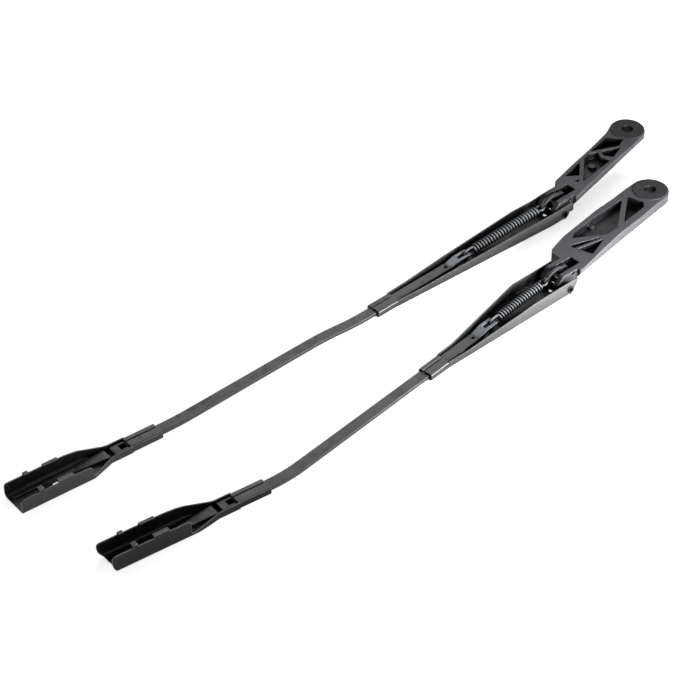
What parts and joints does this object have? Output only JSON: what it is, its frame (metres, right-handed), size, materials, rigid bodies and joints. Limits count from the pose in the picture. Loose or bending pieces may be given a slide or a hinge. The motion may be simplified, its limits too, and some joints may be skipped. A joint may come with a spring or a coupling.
{
  "type": "windscreen wiper arm set",
  "caption": "Windscreen wiper arm set lying underside up: cast spindle heads hinged to stamped, spring-loaded channels, with flat bars and folded claws for the blades.",
  "frame": {"origin": "middle of the set's base, on the surface that both arms lie on", "axes": "+X from the blade claws towards the spindle heads, +Z out of the undersides, which face up; the hinge axes run along Y"},
  "size_m": [0.6546, 0.1318, 0.0182],
  "materials": {
    "black_coat": "satin black coat on pressed steel",
    "cast_coat": "fine-grained satin black coat on a die casting",
    "bar_coat": "thin matt grey-black coat on flat steel bar",
    "spring_steel": "drawn spring wire with a phosphate tint",
    "link_steel": "plated flat steel",
    "pin_steel": "dark plated pin steel",
    "bush_plastic": "moulded bearing plastic"
  },
  "bodies": {
    "long_head": {"long_head_casting": "cast_coat", "long_hinge_bush_far": "bush_plastic", "long_hinge_bush_near": "bush_plastic", "long_hook_pin": "pin_steel"},
    "long_arm": {"long_channel": "black_coat", "long_hinge_pin": "pin_steel", "long_flat_bar": "bar_coat", "long_blade_claw": "black_coat"},
    "long_link": {"long_hook_link": "link_steel"},
    "long_spring": {"long_tension_spring": "spring_steel"},
    "short_head": {"short_head_casting": "cast_coat", "short_hinge_bush_far": "bush_plastic", "short_hinge_bush_near": "bush_plastic", "short_hook_pin": "pin_steel"},
    "short_arm": {"short_channel": "black_coat", "short_hinge_pin": "pin_steel", "short_flat_bar": "bar_coat", "short_blade_claw": "black_coat"},
    "short_link": {"short_hook_link": "link_steel"},
    "short_spring": {"short_tension_spring": "spring_steel"}
  },
  "joints": [
    {"name": "long_fold", "type": "hinge", "parent": "long_head", "child": "long_arm", "pos_m": [0.20248, 0.02836, 0.0055], "axis": [0, -1, 0], "range_deg": [0, 48], "stiffness_Nm_per_rad": 0.6, "springref_deg": -85.94, "deforming": ["long_tension_spring"]},
    {"name": "long_link_swing", "type": "hinge", "parent": "long_head", "child": "long_link", "pos_m": [0.21068, 0.02876, 0.0136], "axis": [0, -1, 0], "range_deg": [0, 43.1]},
    {"name": "long_spring_swing", "type": "hinge", "parent": "long_arm", "child": "long_spring", "pos_m": [0.10998, 0.03316, 0.0056], "axis": [0, -1, 0], "range_deg": [-5, 0]},
    {"name": "short_fold", "type": "hinge", "parent": "short_head", "child": "short_arm", "pos_m": [0.13508, -0.03904, 0.0055], "axis": [0, -1, 0], "range_deg": [0, 48], "stiffness_Nm_per_rad": 0.6, "springref_deg": -85.94, "deforming": ["short_tension_spring"]},
    {"name": "short_link_swing", "type": "hinge", "parent": "short_head", "child": "short_link", "pos_m": [0.14328, -0.03864, 0.0136], "axis": [0, -1, 0], "range_deg": [0, 41.8]},
    {"name": "short_spring_swing", "type": "hinge", "parent": "short_arm", "child": "short_spring", "pos_m": [0.06308, -0.04064, 0.0056], "axis": [0, -1, 0], "range_deg": [-6.3, 0]},
    {"name": "short_arm_lift_off", "type": "slide", "parent": "long_head", "child": "short_head", "axis": [0, 0, 1], "range_m": [0, 0.12]}
  ],
  "couplings": [
    {"joint": "long_link_swing", "follows": "long_fold", "ratio": 0.8965},
    {"joint": "long_spring_swing", "follows": "long_fold", "ratio": -0.1035},
    {"joint": "short_link_swing", "follows": "short_fold", "ratio": 0.8703},
    {"joint": "short_spring_swing", "follows": "short_fold", "ratio": -0.1297}
  ]
}
